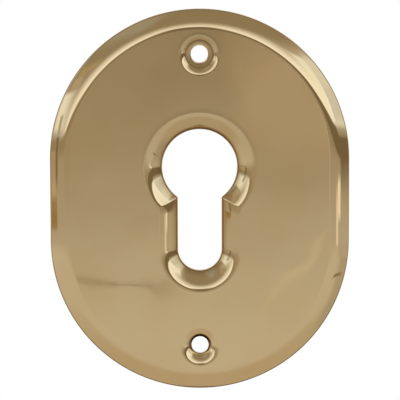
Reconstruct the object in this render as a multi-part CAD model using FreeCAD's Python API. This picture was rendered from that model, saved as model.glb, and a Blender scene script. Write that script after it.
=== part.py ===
"""Keyhole escutcheon: one oval plate pressed from brass sheet.

The sheet is flat over the face. It rolls over at the rim into a soft bevel and a short
skirt that stands on the door, rolls down into a collar round the keyhole, and is dished
round the two screw holes. It is the same thickness everywhere, so the back is hollow.

The plate is drawn lying on its back, with x to the right, y up the door and z out of the
door, and is turned upright at the end. Lengths are in millimetres, angles in degrees.
"""

import FreeCAD
import Part

import math
import os

# The sheet
sheet_thickness = 1.0

# The outline: two half circles joined by straight sides
plate_width = 70.0
plate_depth = 4.0

# The rim, from the flat face outwards, radii on the polished side
rim_crest_radius = 5.2
rim_crest_angle = 26.0
rim_shoulder_radius = 16.0
rim_shoulder_angle = 35.0

# The keyhole, for a 17 mm round lock cylinder with a 10 mm web
barrel_diameter = 17.5
web_width = 10.2
keyhole_height = 33.1
waist_radius_at_edge = 0.6
waist_radius_at_crest = 4.0

# The collar, from the flat face down to the keyhole's edge; its crest sits low on the keyhole,
# so that its bevel is steeper over the barrel than under the web
collar_crest_radius = 4.7
collar_crest_angle = 28.0
collar_shoulder_radius = 14.0
collar_lip_angle = 39.5
collar_set_down = 0.5

# The screw holes and the dished seats round them
screw_hole_diameter = 4.0
upper_seat_crest_radius = 2.15
upper_seat_angle = 50.0
upper_seat_land_width = 1.15
lower_seat_crest_radius = 3.3
lower_seat_angle = 46.0
lower_seat_slope_run = 0.47

# The flat face left along the middle of the plate; its height follows from these
flat_between_collar_and_seat = 7.66
flat_between_seat_and_rim = 0.77

# Outlines drawn across each bend of the collar
outlines_per_bend = 6


def outward_and_up(angle):
    """The sheet's surface normal where it slopes down by this angle, as (run, height)."""
    tilt = math.radians(angle)
    return math.sin(tilt), math.cos(tilt)


def bend(front_radius, to_angle):
    """A bend in the sheet. The radius is negative where the polished side is the hollow one."""
    return {"radius": front_radius, "to_angle": to_angle}


def slope(run):
    """A straight stretch of sheet, at the angle that it has reached."""
    return {"run": run}


def run_of(steps):
    """The horizontal distance that the polished side covers over these steps."""
    angle, total = 0.0, 0.0
    for step in steps:
        if "run" in step:
            total += step["run"]
        else:
            before, after = outward_and_up(angle)[0], outward_and_up(step["to_angle"])[0]
            total += step["radius"] * (after - before)
            angle = step["to_angle"]
    return total


def follow_sheet(steps, below=0.0, reach=None):
    """The curves of a section, as (run, height) points from the flat face outwards.

    Height is counted down from the polished face. With below, the line runs that far inside
    the sheet, and with reach, its last curve ends at that run, where the sheet is cut. A bend
    that has no radius there is a sharp corner.
    """
    run, height, angle = 0.0, 0.0, 0.0
    curves = []
    for number, step in enumerate(steps, start=1):
        is_cut = reach is not None and number == len(steps)
        out, up = outward_and_up(angle)
        if "run" in step:
            start = (run - below * out, height - below * up)
            run, height = run + step["run"], height - step["run"] * out / up
            end = (run - below * out, height - below * up)
            if is_cut:
                end = (reach, start[1] - (reach - start[0]) * out / up)
            curves.append([start, end])
            continue
        centre = (run - step["radius"] * out, height - step["radius"] * up)
        radius = step["radius"] - below
        last = step["to_angle"]
        if is_cut:
            last = math.degrees(math.asin((reach - centre[0]) / radius))

        def point_at(tilt):
            sideways, upwards = outward_and_up(tilt)
            return centre[0] + radius * sideways, centre[1] + radius * upwards

        if radius != 0:
            turns = [angle + (last - angle) * share for share in (0.0, 0.5, 1.0)]
            curves.append([point_at(turn) for turn in turns])
        angle = step["to_angle"]
        out, up = outward_and_up(angle)
        run, height = centre[0] + step["radius"] * out, centre[1] + step["radius"] * up
    return curves


def edge_through(points):
    """A line through two points, or an arc through three."""
    if len(points) == 2:
        return Part.LineSegment(*points).toShape()
    return Part.Arc(*points).toShape()


def section_wire(front, back, tail, place):
    """One open wire: out along the front of the sheet, round its cut edge, and back behind it."""
    edges = [edge_through([place(point) for point in curve]) for curve in front]
    ends = [front[-1][-1], *tail, back[-1][-1]]
    edges += [edge_through([place(a), place(b)]) for a, b in zip(ends, ends[1:])]
    edges += [edge_through([place(point) for point in curve]) for curve in reversed(back)]
    return Part.Wire(Part.__sortEdges__(edges))


def oval_wire(width, height, z):
    """A flat oval with round ends, centred on the plate."""
    half_width, end_centre = width / 2, (height - width) / 2
    right_top = FreeCAD.Vector(half_width, end_centre, z)
    top = FreeCAD.Vector(0, end_centre + half_width, z)
    left_top = FreeCAD.Vector(-half_width, end_centre, z)
    left_bottom, bottom, right_bottom = -right_top, -top, -left_top
    for point in (left_bottom, bottom, right_bottom):
        point.z = z
    return Part.Wire(
        [
            edge_through([right_top, top, left_top]),
            edge_through([left_top, left_bottom]),
            edge_through([left_bottom, bottom, right_bottom]),
            edge_through([right_bottom, right_top]),
        ]
    )


def circle_wire(centre, radius):
    return Part.Wire(Part.makeCircle(radius, centre))


def rim_steps():
    """The rim rolls over into a soft bevel, and then turns down round a sharp inner corner."""
    return [
        bend(rim_crest_radius, rim_crest_angle),
        bend(rim_shoulder_radius, rim_shoulder_angle),
        bend(sheet_thickness, 90.0),
    ]


def faces_of_rim():
    """The rolled rim and its skirt: one section taken round both ends and down both sides."""
    steps = rim_steps()
    run = run_of(steps)
    end_radius = plate_width / 2
    end_centre = FreeCAD.Vector(0, plate_height() / 2 - end_radius, 0)

    def place(point):
        return FreeCAD.Vector(end_radius - run + point[0], end_centre.y, plate_depth + point[1])

    front = follow_sheet(steps)
    back = follow_sheet(steps, below=sheet_thickness)
    skirt_foot = [(run, -plate_depth), (run - sheet_thickness, -plate_depth)]
    section = section_wire(front, back, skirt_foot, place)
    up = FreeCAD.Vector(0, 0, 1)
    round_end = section.copy().revolve(end_centre, up, 180)
    right_side = section.copy().extrude(FreeCAD.Vector(0, -2 * end_centre.y, 0))
    half = round_end.Faces + right_side.Faces
    other_half = [face.rotated(FreeCAD.Vector(), up, 180) for face in half]
    crest = (plate_width - 2 * run, plate_height() - 2 * run)
    return half + other_half, crest


def keyhole_wire(grown_by, waist_radius, z):
    """The keyhole's outline moved out into the plate, with its two waist corners rounded."""
    barrel = barrel_diameter / 2 + grown_by
    web = web_width / 2 + grown_by
    barrel_centre_height = (keyhole_height - barrel_diameter) / 2
    web_end = (web_width - keyhole_height) / 2
    corner_x = web + waist_radius
    corner_y = barrel_centre_height - math.sqrt((barrel + waist_radius) ** 2 - corner_x**2)
    towards = FreeCAD.Vector(corner_x, corner_y - barrel_centre_height, 0).normalize()

    def at(x, y):
        return FreeCAD.Vector(x, y, z)

    on_barrel = at(barrel * towards.x, barrel_centre_height + barrel * towards.y)
    on_web = at(web, corner_y)
    between = FreeCAD.Vector(-1 - towards.x, -towards.y, 0).normalize() * waist_radius
    on_corner = at(corner_x + between.x, corner_y + between.y)

    def mirrored(point):
        return FreeCAD.Vector(-point.x, point.y, point.z)

    return Part.Wire(
        [
            edge_through([on_barrel, at(0, barrel_centre_height + barrel), mirrored(on_barrel)]),
            edge_through([mirrored(on_barrel), mirrored(on_corner), mirrored(on_web)]),
            edge_through([mirrored(on_web), at(-web, web_end)]),
            edge_through([at(-web, web_end), at(0, web_end - web), at(web, web_end)]),
            edge_through([at(web, web_end), on_web]),
            edge_through([on_web, on_corner, on_barrel]),
        ]
    )


def points_along(curves):
    """Evenly turned points along a section, closer together than the curves' own ends."""
    points = []
    for curve in curves:
        arc = edge_through([FreeCAD.Vector(x, y, 0) for x, y in curve])
        first, last = arc.ParameterRange
        for step in range(outlines_per_bend):
            at = first + (last - first) * step / outlines_per_bend
            points.append(arc.valueAt(at))
    return points + [arc.valueAt(last)]


def collar_steps():
    """The collar slopes down like the rim, and is cut through at its lip."""
    return [
        bend(collar_crest_radius, collar_crest_angle),
        bend(collar_shoulder_radius, collar_lip_angle),
    ]


def faces_of_collar():
    """The collar that rolls down to the keyhole, lofted through its outline at each depth."""
    steps = collar_steps()
    run = run_of(steps)

    def outline_at(point):
        grown_by = run - point.x
        share = grown_by / run
        corner = waist_radius_at_edge + (waist_radius_at_crest - waist_radius_at_edge) * share
        outline = keyhole_wire(grown_by, corner, plate_depth + point.y)
        outline.translate(FreeCAD.Vector(0, -collar_set_down * share, 0))
        return outline

    front = [outline_at(point) for point in points_along(follow_sheet(steps))]
    hidden = follow_sheet(steps, below=sheet_thickness, reach=run)
    back = [outline_at(point) for point in points_along(hidden)]
    faces = Part.makeLoft(front).Faces + Part.makeLoft(back).Faces
    faces += Part.makeLoft([front[-1], back[-1]], False, True).Faces
    return faces, front[0], back[0]


def faces_of_screw_seat(centre_y, steps):
    """A dished seat, turned about its screw hole. Returns its faces and its outer radius."""
    run = run_of(steps)
    hole_radius = screw_hole_diameter / 2
    centre = FreeCAD.Vector(0, centre_y, 0)

    def place(point):
        return FreeCAD.Vector(hole_radius + run - point[0], centre_y, plate_depth + point[1])

    front = follow_sheet(steps)
    back = follow_sheet(steps, below=sheet_thickness, reach=run)
    section = section_wire(front, back, [], place)
    turned = section.revolve(centre, FreeCAD.Vector(0, 0, 1), 360)
    return turned.Faces, hole_radius + run


def upper_seat_steps():
    """The upper seat is shallow, and ends in a narrow flat ring round its hole."""
    crease = bend(0.0, 0.0)
    return [
        bend(upper_seat_crest_radius, upper_seat_angle),
        crease,
        slope(upper_seat_land_width),
    ]


def lower_seat_steps():
    """The lower seat is a deeper funnel that slopes right down to its hole."""
    return [bend(lower_seat_crest_radius, lower_seat_angle), slope(lower_seat_slope_run)]


def seat_radius():
    """The room that each screw hole needs: the wider seat's, so that both holes match."""
    wider_seat = max(run_of(upper_seat_steps()), run_of(lower_seat_steps()))
    return screw_hole_diameter / 2 + wider_seat


def screw_height():
    """How far each screw hole lies above or below the middle of the plate."""
    collar_end = keyhole_height / 2 + run_of(collar_steps()) + collar_set_down
    return collar_end + flat_between_collar_and_seat + seat_radius()


def plate_height():
    """From one end of the outline to the other: room for the seats, and the rim beyond them."""
    seat_end = screw_height() + seat_radius()
    return 2 * (seat_end + flat_between_seat_and_rim + run_of(rim_steps()))


def pressed_plate():
    """The whole plate as one closed sheet."""
    rim, (crest_width, crest_height) = faces_of_rim()
    collar, keyhole_front, keyhole_back = faces_of_collar()
    upper, upper_radius = faces_of_screw_seat(screw_height(), upper_seat_steps())
    lower, lower_radius = faces_of_screw_seat(-screw_height(), lower_seat_steps())

    def flat_face(z, keyhole):
        seats = [
            circle_wire(FreeCAD.Vector(0, screw_height(), z), upper_radius),
            circle_wire(FreeCAD.Vector(0, -screw_height(), z), lower_radius),
        ]
        outline = oval_wire(crest_width, crest_height, z)
        return Part.makeFace([outline, keyhole, *seats], "Part::FaceMakerBullseye")

    front_face = flat_face(plate_depth, keyhole_front)
    back_face = flat_face(plate_depth - sheet_thickness, keyhole_back)
    skin = Part.Shell(rim + collar + upper + lower + [front_face, back_face])
    skin.sewShape()
    plate = Part.Solid(skin)
    if plate.Volume < 0:
        plate.reverse()
    return plate


def stood_upright(shape):
    """Turned from lying on its back to hanging on a door: y goes up, and z comes out at -y."""
    return shape.rotated(FreeCAD.Vector(), FreeCAD.Vector(1, 0, 0), 90)


def main():
    os.makedirs("parts", exist_ok=True)
    plate = stood_upright(pressed_plate())
    plate.exportStep("parts/escutcheon_plate.step")
    box = plate.optimalBoundingBox()
    print(f"escutcheon_plate: {box.XLength:.2f} x {box.YLength:.2f} x {box.ZLength:.2f} mm")
    print(f"screw holes {2 * screw_height():.2f} mm apart, volume {plate.Volume:.1f} mm3")
    print(f"closed {plate.isClosed()}, valid {plate.isValid()}")


main()
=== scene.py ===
import math

import bmesh
import bpy
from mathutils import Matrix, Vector


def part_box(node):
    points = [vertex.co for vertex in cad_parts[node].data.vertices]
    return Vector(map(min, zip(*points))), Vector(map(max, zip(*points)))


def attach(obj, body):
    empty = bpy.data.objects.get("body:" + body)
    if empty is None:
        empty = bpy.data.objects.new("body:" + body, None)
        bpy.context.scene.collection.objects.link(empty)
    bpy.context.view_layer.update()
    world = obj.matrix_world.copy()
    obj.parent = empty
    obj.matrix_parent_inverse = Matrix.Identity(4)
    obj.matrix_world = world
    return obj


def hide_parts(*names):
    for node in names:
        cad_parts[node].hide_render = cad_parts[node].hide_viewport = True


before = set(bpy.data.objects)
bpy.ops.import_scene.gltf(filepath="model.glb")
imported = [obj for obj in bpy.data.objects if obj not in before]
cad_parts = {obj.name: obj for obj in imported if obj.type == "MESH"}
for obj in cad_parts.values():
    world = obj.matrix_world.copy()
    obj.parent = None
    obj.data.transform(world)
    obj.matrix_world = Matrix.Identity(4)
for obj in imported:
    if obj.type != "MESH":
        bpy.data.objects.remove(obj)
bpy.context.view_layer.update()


# The pressed plate.
# One blank of 1 mm brass sheet, pierced for the screws and the lock cylinder, then pressed:
# the rim rolls over and stands on the door, a collar rolls in to the keyhole, and each screw
# hole is dished. Two screws through the dished seats hold it to the door.

MM = 0.001
plate_depth = 4.0 * MM
sheet_thickness = 1.0 * MM
broken_edge = 0.1 * MM
edge_of_flat = 0.04 * MM

plate_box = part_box("escutcheon_plate")
half_width = plate_box[1].x
half_height = plate_box[1].z
barrel_radius = 8.75 * MM
web_half_width = 5.1 * MM
keyhole_half_height = 16.55 * MM
screw_hole_radius = 2.0 * MM
screw_height = 34.09 * MM


class Wire:
    """A socket of a node tree. Sums written with wires add the tree's maths nodes."""

    def __init__(self, tree, socket=None):
        self.tree, self.socket = tree, socket

    def add(self, kind, settings=None, inputs=None, output=0):
        """A node of this kind: its settings first, then its sockets' values or wires."""
        node = self.tree.nodes.new(kind)
        for name, value in (settings or {}).items():
            setattr(node, name, value)
        for name, value in (inputs or {}).items():
            if isinstance(value, Wire):
                self.tree.links.new(value.socket, node.inputs[name])
            else:
                node.inputs[name].default_value = value
        return Wire(self.tree, node.outputs[output])

    def maths(self, operation, *values):
        inputs = dict(enumerate(values))
        return self.add("ShaderNodeMath", {"operation": operation}, inputs)

    def vectors(self, operation, *values, output=0):
        inputs = dict(enumerate(values))
        return self.add("ShaderNodeVectorMath", {"operation": operation}, inputs, output)

    @staticmethod
    def is_vector(value):
        return isinstance(value, tuple) or isinstance(value, Wire) and value.socket.type == "VECTOR"

    def join(self, operation, one, other):
        if self.is_vector(one) or self.is_vector(other):
            return self.vectors(operation, one, other)
        return self.maths(operation, one, other)

    def __add__(self, other):
        return self.join("ADD", self, other)

    __radd__ = __add__

    def __sub__(self, other):
        return self.join("SUBTRACT", self, other)

    def __rsub__(self, other):
        return self.join("SUBTRACT", other, self)

    def __mul__(self, other):
        if self.is_vector(self) and not self.is_vector(other):
            scale = {0: self, "Scale": other}
            return self.add("ShaderNodeVectorMath", {"operation": "SCALE"}, scale)
        return self.join("MULTIPLY", self, other)

    __rmul__ = __mul__

    def __truediv__(self, other):
        return self.maths("DIVIDE", self, other)

    def length(self):
        return self.vectors("LENGTH", self, output=1)

    def parts(self):
        """The x, y and z of a vector."""
        split = self.add("ShaderNodeSeparateXYZ", {}, {"Vector": self}).socket.node
        return [Wire(self.tree, part) for part in split.outputs]

    def between(self, low, high):
        """0 up to low, 1 from high on, and smooth in between."""
        span = {"Value": self, "From Min": low, "From Max": high}
        return self.add("ShaderNodeMapRange", {"interpolation_type": "SMOOTHSTEP"}, span)

    def within(self, low, high, soft):
        """1 from low to high and 0 outside, over edges this soft."""
        return self.between(low - soft, low + soft) * (1.0 - self.between(high - soft, high + soft))

    def blend(self, under, colour, share):
        """This colour over the one under it, where the share is 1."""
        mix = {"Factor": share, 6: under, 7: colour}
        return self.add("ShaderNodeMix", {"data_type": "RGBA"}, mix, 2)

    def show(self, output):
        """This shader as the tree's result."""
        result = self.tree.nodes.new(output)
        self.tree.links.new(self.socket, result.inputs["Surface"])


def pressing_tree():
    """The press: it bends a flat band of blank, row by row, from its crest to its edge.

    A row's travel says how far along the section it is: 0 to 1 is the first bend, 1 to 2 the
    second, 2 to 3 the straight after them, 3 to 4 the last bend and 4 to 5 the last straight.
    From one travel on, the finish dulls towards the pierced edge, and painted shade darkens its
    colour there.
    """
    tree = bpy.data.node_groups.new("press_a_band", "GeometryNodeTree")
    sizes = [
        "First radius", "First angle", "Second radius", "Second angle", "Straight run",
        "Last radius", "Last angle", "Last straight", "Plate depth", "Sheet thickness",
        "Edge of flat", "Dulled and shaded from",
    ]
    tree.interface.new_socket("Blank", in_out="INPUT", socket_type="NodeSocketGeometry")
    for name in sizes:
        tree.interface.new_socket(name, in_out="INPUT", socket_type="NodeSocketFloat")
    tree.interface.new_socket("Sheet metal", in_out="INPUT", socket_type="NodeSocketMaterial")
    tree.interface.new_socket("Band", in_out="OUTPUT", socket_type="NodeSocketGeometry")
    entry = tree.nodes.new("NodeGroupInput")
    given = {socket.name: Wire(tree, socket) for socket in entry.outputs if socket.name}
    press = Wire(tree)

    def attribute(name, kind):
        return press.add("GeometryNodeInputNamedAttribute", {"data_type": kind}, {"Name": name})

    crest = attribute("crest", "FLOAT_VECTOR")
    reach = attribute("reach", "FLOAT_VECTOR")
    travel = attribute("travel", "FLOAT")
    underside = attribute("underside", "FLOAT")

    def share(first):
        """How much of the section's stretch that starts at this travel lies behind the row."""
        return press.add("ShaderNodeClamp", {}, {"Value": travel - first})

    def sine(angle):
        return press.maths("SINE", angle)

    def cosine(angle):
        return press.maths("COSINE", angle)

    run = press.maths("MINIMUM", travel, 0.0) * given["Edge of flat"]
    drop, tilt, before, whole_run = 0.0, 0.0, 0.0, 0.0
    stretches = [("First", 0.0, None), ("Second", 1.0, None), (None, 2.0, "Straight run"),
                 ("Last", 3.0, None), (None, 4.0, "Last straight")]
    for bend, first, straight in stretches:
        if straight:
            run = run + share(first) * given[straight] * cosine(before)
            drop = drop + share(first) * given[straight] * sine(before)
            whole_run = whole_run + given[straight] * cosine(before)
            continue
        radius, after = given[bend + " radius"], given[bend + " angle"]
        turn = (after - before) * share(first)
        reached = before + turn
        run = run + radius * (sine(reached) - sine(before))
        drop = drop + radius * (cosine(before) - cosine(reached))
        whole_run = whole_run + radius * (sine(after) - sine(before))
        tilt = tilt + turn
        before = after

    outwards = press.add("ShaderNodeCombineXYZ", {}, {"Y": -1.0})
    raised = outwards * (given["Plate depth"] - drop)
    downhill = press.vectors("NORMALIZE", reach)
    facing = downhill * sine(tilt) + outwards * cosine(tilt)
    behind = facing * (underside * given["Sheet thickness"])
    place = crest + reach * (run / whole_run) + raised - behind
    pressed = press.add(
        "GeometryNodeSetPosition", {}, {"Geometry": given["Blank"], "Position": place}
    )
    near_cut = press.add("ShaderNodeClamp", {}, {"Value": (travel - given["Dulled and shaded from"]) * 2.0})
    marked = press.add(
        "GeometryNodeStoreNamedAttribute", {"data_type": "FLOAT"},
        {"Geometry": pressed, "Name": "near_cut", "Value": near_cut},
    )
    real = press.add("GeometryNodeRealizeInstances", {}, {"Geometry": marked})
    clad = press.add(
        "GeometryNodeSetMaterial", {}, {"Geometry": real, "Material": given["Sheet metal"]}
    )
    leave = tree.nodes.new("NodeGroupOutput")
    tree.links.new(clad.socket, leave.inputs["Band"])
    return tree


def spread(first, last, count):
    """Numbers evenly from the first towards the last, without the last."""
    return [first + (last - first) * n / count for n in range(count)]


def rows_of_band(front_steps, back_steps):
    """Each row's travel along the section and whether it lies on the back of the sheet.

    A step says at which travel a stretch starts and how many rows it has.
    """
    front = [-1.0]
    for first, count in front_steps:
        front += spread(first, first + 1.0, count)
    front.append(5.0)
    back = [-1.0]
    for first, count in back_steps:
        back += spread(first, first + 1.0, count)
    back.append(back_steps[-1][0] + 1.0)
    return [(travel, 0.0) for travel in front] + [(travel, 1.0) for travel in reversed(back)]


def flat_band(name, columns, rows):
    """A closed ring of blank: one column for each pair of crest and edge points."""
    points, faces = [], []
    for crest, edge in columns:
        points += [crest.lerp(edge, row / (len(rows) - 1)) for row in range(len(rows))]
    for column in range(len(columns)):
        here, beyond = column * len(rows), (column + 1) % len(columns) * len(rows)
        for row in range(len(rows) - 1):
            faces.append((here + row, here + row + 1, beyond + row + 1, beyond + row))
    mesh = bpy.data.meshes.new(name)
    mesh.from_pydata(points, [], faces)
    vectors = {"crest": [], "reach": []}
    for crest, edge in columns:
        vectors["crest"] += list(crest) * len(rows)
        vectors["reach"] += list(edge - crest) * len(rows)
    for label, numbers in vectors.items():
        mesh.attributes.new(label, "FLOAT_VECTOR", "POINT").data.foreach_set("vector", numbers)
    for place, label in enumerate(("travel", "underside")):
        numbers = [row[place] for row in rows] * len(columns)
        mesh.attributes.new(label, "FLOAT", "POINT").data.foreach_set("value", numbers)
    return bpy.data.objects.new(name, mesh)


def pressed_band(name, columns, rows, sizes):
    """The band after the press, as a plain mesh."""
    blank = flat_band(name, columns, rows)
    bpy.context.scene.collection.objects.link(blank)
    press = blank.modifiers.new("press", "NODES")
    press.node_group = pressing
    given = [item for item in pressing.interface.items_tree if item.in_out == "INPUT"]
    sockets = {item.name: item.identifier for item in given}
    for label, size in sizes.items():
        press[sockets[label]] = size
    press[sockets["Plate depth"]] = plate_depth
    press[sockets["Sheet thickness"]] = sheet_thickness
    press[sockets["Edge of flat"]] = edge_of_flat
    press[sockets["Sheet metal"]] = polished_brass
    pressed = blank.evaluated_get(bpy.context.evaluated_depsgraph_get())
    mesh = bpy.data.meshes.new_from_object(pressed)
    blank.modifiers.remove(press)
    bpy.data.objects.remove(blank)
    return mesh


def ring_point(centre_z, angle, radius):
    """A point on a circle of the face, its angle counted clockwise from the top."""
    return Vector((radius * math.sin(angle), 0.0, centre_z + radius * math.cos(angle)))


def rounded(centre_z, first, last, count, crest_radius, edge_radius):
    """Columns round part of a circle, without the last one."""
    radii = (crest_radius, edge_radius)
    angles = [math.radians(angle) for angle in spread(first, last, count)]
    return [tuple(ring_point(centre_z, angle, radius) for radius in radii) for angle in angles]


def straight(crest_ends, edge_ends, count):
    """Columns along a straight side, without the last one."""
    lines = [[Vector((x, 0.0, z)) for x, z in ends] for ends in (crest_ends, edge_ends)]
    return [tuple(first.lerp(last, n / count) for first, last in lines) for n in range(count)]


def set_down(columns, drop):
    """The same columns with their crests this much lower on the plate."""
    return [(crest - Vector((0.0, 0.0, drop)), edge) for crest, edge in columns]


def run_of_bends(*bends):
    """How far the polished side runs over these bends, each a radius and the slopes it joins."""
    return sum(r * (math.sin(math.radians(b)) - math.sin(math.radians(a))) for r, a, b in bends)


def drop_of_bends(*bends):
    """How far the polished side drops over these bends."""
    return sum(r * (math.cos(math.radians(a)) - math.cos(math.radians(b))) for r, a, b in bends)


def cut_depth(angle, corner):
    """The height of a pierced edge, straight through sheet that slopes by this angle."""
    slope = math.radians(angle)
    beyond = corner * (1 - math.sin(slope)) + sheet_thickness * math.sin(slope)
    return sheet_thickness * math.cos(slope) + beyond * math.tan(slope) - corner * math.cos(slope)


polished_brass = bpy.data.materials.new("polished_brass")
pressing = pressing_tree()
upright = math.radians(90)

# The rim: a soft crest, a bevel that steepens a little, and a skirt that stands on the door.
# Here and below, a bend has a radius on the polished side and ends at a slope, in degrees
rim_crest, rim_crest_slope = 5.2 * MM, 26
rim_bevel, rim_bevel_slope = 16.0 * MM, 35
rim_bends = [
    (rim_crest, 0, rim_crest_slope),
    (rim_bevel, rim_crest_slope, rim_bevel_slope),
    (sheet_thickness, rim_bevel_slope, 90),
]
end_centre = half_height - half_width
flat_edge = half_width - run_of_bends(*rim_bends)
rim_columns = (
    rounded(end_centre, -90, 90, 150, flat_edge, half_width)
    + straight(
        ((flat_edge, end_centre), (flat_edge, -end_centre)),
        ((half_width, end_centre), (half_width, -end_centre)), 10,
    )
    + rounded(-end_centre, 90, 270, 150, flat_edge, half_width)
    + straight(
        ((-flat_edge, -end_centre), (-flat_edge, end_centre)),
        ((-half_width, -end_centre), (-half_width, end_centre)), 10,
    )
)
rim_rows = rows_of_band(
    [(-1.0, 1), (0.0, 14), (1.0, 7), (3.0, 12), (4.0, 1)],
    [(0.0, 10), (1.0, 4), (4.0, 1)],
)
rim = pressed_band("rim", rim_columns, rim_rows, {
    "First radius": rim_crest, "First angle": math.radians(rim_crest_slope),
    "Second radius": rim_bevel, "Second angle": math.radians(rim_bevel_slope),
    "Straight run": 0.0, "Last radius": sheet_thickness, "Last angle": upright,
    "Last straight": plate_depth - drop_of_bends(*rim_bends), "Dulled and shaded from": 9.0,
})

# The collar: a soft crest and bevel, running in to the pierced keyhole. It sits a little low on
# the keyhole, so its bevel is steeper over the barrel than under the web
collar_crest, collar_crest_slope = 4.7 * MM, 28
collar_bevel, collar_bevel_slope = 14.0 * MM, 39.5
collar_run = run_of_bends(
    (collar_crest, 0, collar_crest_slope), (collar_bevel, collar_crest_slope, collar_bevel_slope)
)
collar_set_down = 0.5 * MM
rolled_lip = 1.2 * MM
barrel_centre = keyhole_half_height - barrel_radius
web_end = web_half_width - keyhole_half_height


def waist(grown, corner):
    """Where the barrel's circle and the web's side meet the fillet between them."""
    across = web_half_width + grown + corner
    apart = barrel_radius + grown + corner
    return math.degrees(math.asin(across / apart)), barrel_centre - math.sqrt(apart**2 - across**2)


def waist_path(grown, corner, from_angle, to_height):
    """Points from the barrel, round the waist's fillet, and down the web's side."""
    down, corner_z = waist(grown, corner)
    side_x = web_half_width + grown
    middle = Vector((side_x + corner, 0.0, corner_z))
    barrel_angles = [math.radians(angle) for angle in spread(from_angle, 180 - down, 10)]
    turn_angles = [math.radians(angle) for angle in spread(down, 90, 12) + [90]]
    side_heights = spread(corner_z, to_height, 10)[1:] + [to_height]
    return (
        [ring_point(barrel_centre, a, barrel_radius + grown) for a in barrel_angles]
        + [middle + Vector((-math.sin(a), 0.0, math.cos(a))) * corner for a in turn_angles]
        + [Vector((side_x, 0.0, z)) for z in side_heights]
    )


def along(points, shares):
    """Points at these shares of a path's length."""
    lengths = [(b - a).length for a, b in zip(points, points[1:])]
    found = []
    for share in shares:
        left = share * sum(lengths)
        for index, length in enumerate(lengths):
            if left <= length or index == len(lengths) - 1:
                part = min(left / length, 1.0) if length else 0.0
                found.append(points[index].lerp(points[index + 1], part))
                break
            left -= length
    return found


crest_corner, edge_corner = 4.0 * MM, 0.6 * MM
crest_radius = barrel_radius + collar_run
crest_half_width = web_half_width + collar_run
crest_down, crest_waist = waist(collar_run, crest_corner)
edge_path = waist_path(0.0, edge_corner, 180 - crest_down, crest_waist)
crest_path = waist_path(collar_run, crest_corner, 180 - crest_down, crest_waist)
waist_shares = spread(0.0, 0.36, 8) + spread(0.36, 0.48, 12) + spread(0.48, 1.0, 8)
keyhole_side = (
    rounded(barrel_centre, 0, 180 - crest_down, 70, crest_radius, barrel_radius)
    + list(zip(along(crest_path, waist_shares), along(edge_path, waist_shares)))
    + straight(
        ((crest_half_width, crest_waist), (crest_half_width, web_end)),
        ((web_half_width, crest_waist), (web_half_width, web_end)), 6,
    )
    + rounded(web_end, 90, 180, 40, crest_half_width, web_half_width)
    + rounded(web_end, 180, 180, 1, crest_half_width, web_half_width)
)
keyhole_side = set_down(keyhole_side, collar_set_down)
other_side = [
    tuple(Vector((-p.x, 0.0, p.z)) for p in pair) for pair in reversed(keyhole_side[1:-1])
]
collar_rows = rows_of_band(
    [(-1.0, 1), (0.0, 14), (1.0, 8), (3.0, 6), (4.0, 1)],
    [(0.0, 10), (1.0, 5)],
)
collar = pressed_band("collar", keyhole_side + other_side, collar_rows, {
    "First radius": collar_crest, "First angle": math.radians(collar_crest_slope),
    "Second radius": collar_bevel, "Second angle": math.radians(collar_bevel_slope),
    "Straight run": 0.0, "Last radius": rolled_lip, "Last angle": upright,
    "Last straight": cut_depth(collar_bevel_slope, rolled_lip), "Dulled and shaded from": 1.5,
})

# The upper screw seat: a shallow dish with an almost flat ring round its hole. Its dish sits a
# little low too
upper_crest, upper_slope = 2.15 * MM, 50
upper_ring, upper_ring_slope = 1.15 * MM, 1.0
upper_edge = screw_hole_radius + run_of_bends((upper_crest, 0, upper_slope)) + upper_ring
upper_set_down = 0.3 * MM
upper_rows = rows_of_band(
    [(-1.0, 1), (0.0, 14), (2.0, 3), (3.0, 3), (4.0, 1)],
    [(0.0, 10), (1.0, 6), (2.0, 1)],
)
upper_columns = rounded(screw_height, 0, 360, 96, upper_edge, screw_hole_radius)
upper_seat = pressed_band("upper_seat", set_down(upper_columns, upper_set_down), upper_rows, {
    "First radius": upper_crest, "First angle": math.radians(upper_slope),
    "Second radius": 0.0, "Second angle": math.radians(upper_ring_slope),
    "Straight run": upper_ring, "Last radius": broken_edge, "Last angle": upright,
    "Last straight": cut_depth(upper_ring_slope, broken_edge), "Dulled and shaded from": 2.8,
})

# The lower screw seat: a deeper funnel that slopes right down to its hole
lower_crest, lower_slope = 3.3 * MM, 46
lower_straight = 0.47 * MM
lower_edge = screw_hole_radius + run_of_bends((lower_crest, 0, lower_slope)) + lower_straight
lower_rows = rows_of_band(
    [(-1.0, 1), (0.0, 14), (2.0, 4), (3.0, 3), (4.0, 1)],
    [(0.0, 10), (2.0, 2)],
)
lower_columns = rounded(-screw_height, 0, 360, 96, lower_edge, screw_hole_radius)
lower_seat = pressed_band("lower_seat", lower_columns, lower_rows, {
    "First radius": lower_crest, "First angle": math.radians(lower_slope),
    "Second radius": 0.0, "Second angle": math.radians(lower_slope),
    "Straight run": lower_straight / math.cos(math.radians(lower_slope)),
    "Last radius": broken_edge, "Last angle": upright,
    "Last straight": cut_depth(lower_slope, broken_edge), "Dulled and shaded from": 2.5,
})

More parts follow.
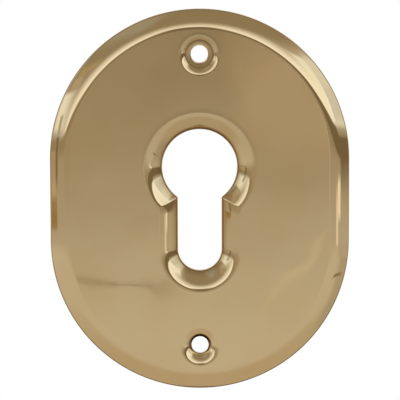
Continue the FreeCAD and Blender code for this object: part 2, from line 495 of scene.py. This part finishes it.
# The flat face and its back fill the space between the bands
sheet = bmesh.new()
for band in (rim, collar, upper_seat, lower_seat):
    sheet.from_mesh(band)
    bpy.data.meshes.remove(band)
for level in (-plate_depth, sheet_thickness - plate_depth):
    open_edges = [
        edge for edge in sheet.edges
        if edge.is_boundary and all(abs(end.co.y - level) < 0.01 * MM for end in edge.verts)
    ]
    bmesh.ops.triangle_fill(sheet, use_beauty=True, edges=open_edges, normal=(0.0, -1.0, 0.0))
bmesh.ops.remove_doubles(sheet, verts=sheet.verts, dist=0.0005 * MM)
bmesh.ops.recalc_face_normals(sheet, faces=sheet.faces)
for face in sheet.faces:
    face.smooth = True
plate_mesh = bpy.data.meshes.new("pressed_plate")
sheet.to_mesh(plate_mesh)
sheet.free()
plate_mesh.set_sharp_from_angle(angle=math.radians(42))
plate_mesh.materials.append(polished_brass)
plate = bpy.data.objects.new("pressed_plate", plate_mesh)
bpy.context.scene.collection.objects.link(plate)

# Buffed brass under clear lacquer: not quite flat, a little dull along the pierced edges, where
# painted shade darkens its colour, with painted shade in the hollows and over the upper halves of
# the dish and collar, and dull on the back as it was rolled
polished_brass.use_nodes = True
surface = polished_brass.node_tree
surface.nodes.clear()
brass = Wire(surface)
spot = brass.add("ShaderNodeTexCoord", output=3)


def clouds(at, across, detail):
    """Noise from 0 to 1 whose blotches are about this many metres across."""
    noise = {"Vector": at, "Scale": 1.0 / across, "Detail": detail}
    return brass.add("ShaderNodeTexNoise", {}, noise)


def kept(name):
    """A number that the press stored on the mesh."""
    return brass.add("ShaderNodeAttribute", {"attribute_name": name}, output=2)


def from_hole(hole_height):
    """How far a spot lies from a hole's axis, and how far above it."""
    apart = (spot - (0.0, 0.0, hole_height)) * (1.0, 0.0, 1.0)
    return apart.length(), apart.parts()[2]


near_cut, underside = kept("near_cut"), kept("underside")
from_upper, above_upper = from_hole(screw_height - 0.4 * upper_set_down)
from_lower, above_lower = from_hole(-screw_height)
from_barrel, above_barrel = from_hole(barrel_centre)
# Painted shade: the colour darkens in the upper dish's fold, over the upper halves of the upper dish
# and the collar, and at the top and the pierced edge of the lower funnel
in_fold = from_upper.within(2.95 * MM, 3.3 * MM, 0.16 * MM)
dish_top = (
    from_upper.within(3.0 * MM, 4.9 * MM, 0.5 * MM) * above_upper.between(-1.5 * MM, 3.0 * MM)
)
collar_top = (
    from_barrel.within(8.0 * MM, 13.6 * MM, 0.5 * MM) * above_barrel.between(-1.0 * MM, 6.0 * MM)
)
funnel_top = (
    from_lower.within(2.3 * MM, 2.75 * MM, 0.15 * MM) * above_lower.between(-0.6 * MM, 0.8 * MM)
)
funnel_edge = 1.0 - from_lower.between(2.1 * MM, 2.3 * MM)
painted_shade = in_fold * 0.55 + dish_top * 0.55 + collar_top * 0.22
darker_painted_shade = funnel_top * 0.8 + funnel_edge * 0.75

handled = clouds(spot, 14.0 * MM, 4.0).between(0.38, 0.68)
buffed = clouds(spot * (1.0, 1.0, 22.0), 4.0 * MM, 3.0)
rolled = clouds(spot * (24.0, 1.0, 1.0), 9.0 * MM, 3.0)
shine = brass.blend((0.849, 0.640, 0.364, 1.0), (0.829, 0.614, 0.338, 1.0), handled)
# Painted shade: the colour darkens towards the pierced edges, where the finish is also rougher
shine = brass.blend(shine, (0.60, 0.405, 0.19, 1.0), near_cut * 0.85)
shine = brass.blend(shine, (0.45, 0.325, 0.175, 1.0), painted_shade)
shine = brass.blend(shine, (0.34, 0.255, 0.145, 1.0), darker_painted_shade)
dull = brass.blend((0.66, 0.475, 0.255, 1.0), (0.56, 0.39, 0.20, 1.0), rolled.between(0.35, 0.65))
gloss = 0.018 + handled * 0.02 + (buffed - 0.5) * 0.02 + near_cut * 0.10
swell = clouds(spot + (0.013, 0.0, 0.004), 26.0 * MM, 1.0) * (0.16 * MM)
ripple = clouds(spot, 7.0 * MM, 1.0) * (0.007 * MM)
grain = (buffed * (1.0 - underside) + rolled * 6.0 * underside) * (0.0002 * MM)
unevenness = {"Distance": 1.0, "Height": swell + ripple + grain}
metal = brass.add("ShaderNodeBsdfPrincipled", {}, {
    "Base Color": brass.blend(shine, dull, underside),
    "Metallic": 1.0,
    "Roughness": gloss * (1.0 - underside) + underside * (0.26 + rolled * 0.16),
    "Coat Weight": (0.6 - handled * 0.2) * (1.0 - underside),
    "Coat Roughness": 0.04,
    "Normal": brass.add("ShaderNodeBump", {}, unevenness),
})
metal.show("ShaderNodeOutputMaterial")

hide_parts("escutcheon_plate")
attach(plate, "root")


# The studio.
# A pale floor well below the plate, white all round behind it, and soft light boxes in front,
# which the polish mirrors.

white = (1.0, 1.0, 1.0, 1.0)
floor_level, floor_reach = -0.36, 1.5
floor_corners = [
    (x * floor_reach, y * floor_reach, floor_level) for x, y in ((-1, -1), (1, -1), (1, 1), (-1, 1))
]
floor_mesh = bpy.data.meshes.new("floor")
floor_mesh.from_pydata(floor_corners, [], [(0, 1, 2, 3)])
floor = bpy.data.objects.new("floor", floor_mesh)
bpy.context.scene.collection.objects.link(floor)

# The camera sees a matt white floor with the plate's shadow, and the polish mirrors a warm table
# top with painted shade: the plate's painted shadow at its foot, the door's painted shade along and
# behind the door, a broad painted shade on its right, and a thin dark line further out on the right
pale_floor = bpy.data.materials.new("pale_floor")
pale_floor.use_nodes = True
ground = pale_floor.node_tree
ground.nodes.clear()
paint = Wire(ground)
floor_ray = ground.nodes.new("ShaderNodeLightPath")
floor_seen = Wire(ground, floor_ray.outputs["Is Camera Ray"])
floor_mirrored = Wire(ground, floor_ray.outputs["Is Glossy Ray"])
place = paint.add("ShaderNodeTexCoord", output=3)
from_foot = (place * (1.0, 1.0, 0.0)).length()
rightwards, towards_door = place.parts()[:2]
floor_bearing = paint.maths("ARCTAN2", rightwards, 0.0 - towards_door) * math.degrees(1.0)
# Painted shadow: the table is darkest at the plate's foot. Painted shade: a broad darker patch on the
# right, and the dark floor along and behind the door
table_top = (0.27, 0.21, 0.14, 1.0)
table_patches = [
    ((0.515, 0.475, 0.385, 1.0), from_foot.between(0.015, 0.075)),
    ((0.59, 0.58, 0.54, 1.0), from_foot.between(0.25, 0.75)),
    ((0.46, 0.44, 0.385, 1.0), floor_bearing.within(62.0, 120.0, 6.0) * from_foot.between(0.28, 0.5)),
    ((0.25, 0.205, 0.13, 1.0),
     floor_bearing.within(53.0, 71.0, 5.0) * from_foot.within(1.02, 1.09, 0.04)),
    ((0.12, 0.09, 0.055, 1.0), towards_door.between(-0.01, 0.06)),
    ((0.46, 0.43, 0.37, 1.0), towards_door.between(0.12, 0.4)),
]
for colour, share in table_patches:
    table_top = paint.blend(table_top, colour, share)
lift = floor_seen * (0.62 + 0.13 * from_foot.between(0.5, 1.45))
matt = paint.add("ShaderNodeBsdfDiffuse", {}, {"Color": (0.80, 0.78, 0.74, 1.0)})
lifted = paint.add("ShaderNodeEmission", {}, {"Color": white, "Strength": lift})
as_seen = paint.add("ShaderNodeAddShader", {}, {0: matt, 1: lifted})
as_mirrored = paint.add("ShaderNodeEmission", {}, {"Color": table_top})
floor_look = {0: floor_mirrored, 1: as_seen, 2: as_mirrored}
paint.add("ShaderNodeMixShader", {}, floor_look).show("ShaderNodeOutputMaterial")
floor_mesh.materials.append(pale_floor)

# A ray's bearing is 0 straight out of the door and grows to the right; its height is 0 on the
# level. Both are in degrees
world = bpy.data.worlds.new("studio")
bpy.context.scene.world = world
world.use_nodes = True
sky = world.node_tree
sky.nodes.clear()
room = Wire(sky)
rightward, away, upward = room.add("ShaderNodeTexCoord").parts()
bearing = room.maths("ARCTAN2", rightward, 0.0 - away) * math.degrees(1.0)
height = room.maths("ARCSINE", upward) * math.degrees(1.0)

# Below the horizon a warm table top, above it a dim room
light = (0.60, 0.595, 0.555, 1.0)
room_patches = [
    ((0.34, 0.31, 0.25, 1.0), height.between(-11.5, 1.0)),
    ((0.40, 0.365, 0.295, 1.0), bearing.within(-34.0, -4.0, 5.0) * height.within(-4.5, 1.5, 1.0)),
    ((0.315, 0.277, 0.21, 1.0), height.between(22.0, 61.0)),
    ((0.265, 0.26, 0.25, 1.0), height.between(62.0, 80.0)),
    ((0.38, 0.38, 0.36, 1.0), bearing.within(-75.0, -30.0, 8.0) * height.within(44.5, 66.0, 6.0)),
]
for colour, share in room_patches:
    light = room.blend(light, colour, share)

# The long soft box: its foot and its head both rise from left to right
box_foot = 4.1 + 2.9 * bearing.between(-42.0, -26.0) + 2.0 * bearing.between(-20.0, 4.0)
box_head = 27.0 + bearing * 0.156
box_glow = room.blend(
    (0.55, 0.58, 0.62, 1.0), (1.08, 1.16, 1.27, 1.0), bearing.between(-67.0, -30.0)
)
box_share = (height - box_foot).between(-1.6, 1.6) * (
    1.0 - (height - box_head).between(-18.0, 13.6)
)
light = room.blend(light, box_glow, box_share)

# A dark strip under the box on the right, whose foot falls and whose head steps down
strip_foot = 5.4 - 0.14 * room.maths("MINIMUM", bearing, 60.0) - 1.2 * bearing.between(58.0, 62.0)
strip_head = 9.1 - 4.4 * bearing.between(54.0, 61.0)
strip_share = (
    bearing.between(-1.0, 6.0) * (height - strip_foot).between(-1.2, 1.0)
    * (1.0 - (height - strip_head).between(-0.8, 0.8))
)
light = room.blend(light, (0.20, 0.163, 0.108, 1.0), strip_share)

# Smaller lights, reflectors and stands: a colour, the bearings it spans and the heights it spans,
# each with how soft its edges are
studio_pieces = [
    ((0.54, 0.64, 0.80, 1.0), (-110.0, -76.0, 2.0), (11.0, 40.0, 4.0)),
    ((0.92, 1.02, 1.12, 1.0), (-78.0, -57.0, 9.0), (6.5, 22.0, 1.6)),
    ((1.02, 1.15, 1.26, 1.0), (42.4, 57.4, 11.0), (8.6, 36.2, 1.4)),
    ((0.71, 0.80, 0.88, 1.0), (57.4, 110.0, 0.7), (8.8, 38.0, 4.5)),
    ((0.80, 0.90, 0.99, 1.0), (58.0, 84.0, 1.5), (24.0, 37.5, 2.5)),
    ((0.285, 0.24, 0.165, 1.0), (-36.0, -4.0, 4.0), (3.0, 4.7, 0.8)),
    ((0.55, 0.53, 0.48, 1.0), (6.3, 9.0, 0.8), (-13.0, 0.0, 1.5)),
    ((0.22, 0.18, 0.13, 1.0), (-4.8, 3.1, 2.8), (1.5, 13.5, 2.0)),
    ((0.25, 0.19, 0.115, 1.0), (-66.0, -62.0, 1.2), (-4.5, 4.6, 0.3)),
    ((0.48, 0.50, 0.47, 1.0), (-66.0, -61.0, 1.2), (4.6, 12.8, 1.0)),
    ((0.46, 0.40, 0.275, 1.0), (-66.6, -44.0, 3.0), (29.1, 33.1, 2.0)),
    ((0.50, 0.47, 0.40, 1.0), (-68.0, -54.0, 3.0), (22.5, 28.5, 2.5)),
    ((0.46, 0.41, 0.31, 1.0), (-82.0, -67.0, 1.0), (-3.3, -0.7, 0.6)),
    ((0.56, 0.47, 0.37, 1.0), (-75.0, -66.5, 1.2), (-4.95, -4.4, 0.12)),
    ((0.33, 0.245, 0.12, 1.0), (-80.0, -63.5, 1.2), (-5.75, -4.97, 0.12)),
    ((0.95, 0.97, 0.93, 1.0), (51.0, 60.2, 1.6), (-5.85, -4.15, 0.25)),
    ((0.80, 0.81, 0.79, 1.0), (42.0, 54.0, 1.6), (-7.9, -4.7, 0.8)),
    ((0.50, 0.485, 0.44, 1.0), (57.0, 120.0, 2.0), (-20.0, -7.2, 0.8)),
    ((0.46, 0.42, 0.345, 1.0), (1.3, 6.5, 0.9), (-3.2, 0.6, 0.9)),
]
for colour, bearings, heights in studio_pieces:
    light = room.blend(light, colour, bearing.within(*bearings) * height.within(*heights))

# Two lines on the table: a dark seam on the left and a card's pale edge on the right
seam = height + 7.65 + 0.28 * bearing.between(-4.7, -2.4) + 0.71 * bearing.between(-1.6, -0.6)
seam_width = 0.07 - 0.042 * bearing.within(-2.5, -1.5, 0.35)
seam_share = bearing.within(-4.6, -1.0, 0.4) * (seam / seam_width).within(-1.0, 1.0, 0.8)
light = room.blend(light, (0.28, 0.245, 0.18, 1.0), seam_share)
card_edge = height + 10.75 - 0.94 * bearing
card_share = bearing.within(2.3, 4.4, 0.3) * card_edge.within(-0.15, 0.15, 0.2)
light = room.blend(light, (0.62, 0.595, 0.53, 1.0), card_share)

# Dark beside the plate, paler further round, and a white backdrop behind it
light = room.blend(light, (0.15, 0.12, 0.08, 1.0), away.between(0.03, 0.24))
light = room.blend(light, (0.46, 0.43, 0.37, 1.0), away.between(0.24, 0.5))
behind = away.between(0.62, 0.95)
ray = sky.nodes.new("ShaderNodeLightPath")
camera_ray, glossy_ray, clear_ray = (
    Wire(sky, ray.outputs[f"Is {kind} Ray"]) for kind in ("Camera", "Glossy", "Transmission")
)
backdrop_seen = room.maths("MAXIMUM", camera_ray, (glossy_ray + clear_ray) * behind)
backdrop = {"Color": room.blend(light, white, backdrop_seen)}
room.add("ShaderNodeBackground", {}, backdrop).show("ShaderNodeOutputWorld")

camera_data = bpy.data.cameras.new("camera")
camera_data.sensor_width = 36.0
camera_data.lens = 153.2
camera_data.clip_start = 0.01
camera = bpy.data.objects.new("camera", camera_data)
elevation, roll, distance = math.radians(5.0), math.radians(-0.15), 0.400
aim = Vector((0.00007, 0.0, -0.00014))
back = Vector((0.0, -math.cos(elevation), math.sin(elevation)))
camera.location = aim + back * distance
camera.rotation_euler = (math.radians(90) - elevation, 0.0, 0.0)
camera.rotation_euler.rotate_axis("Z", roll)
bpy.context.scene.collection.objects.link(camera)
bpy.context.scene.camera = camera
bpy.context.scene.view_settings.view_transform = "Standard"
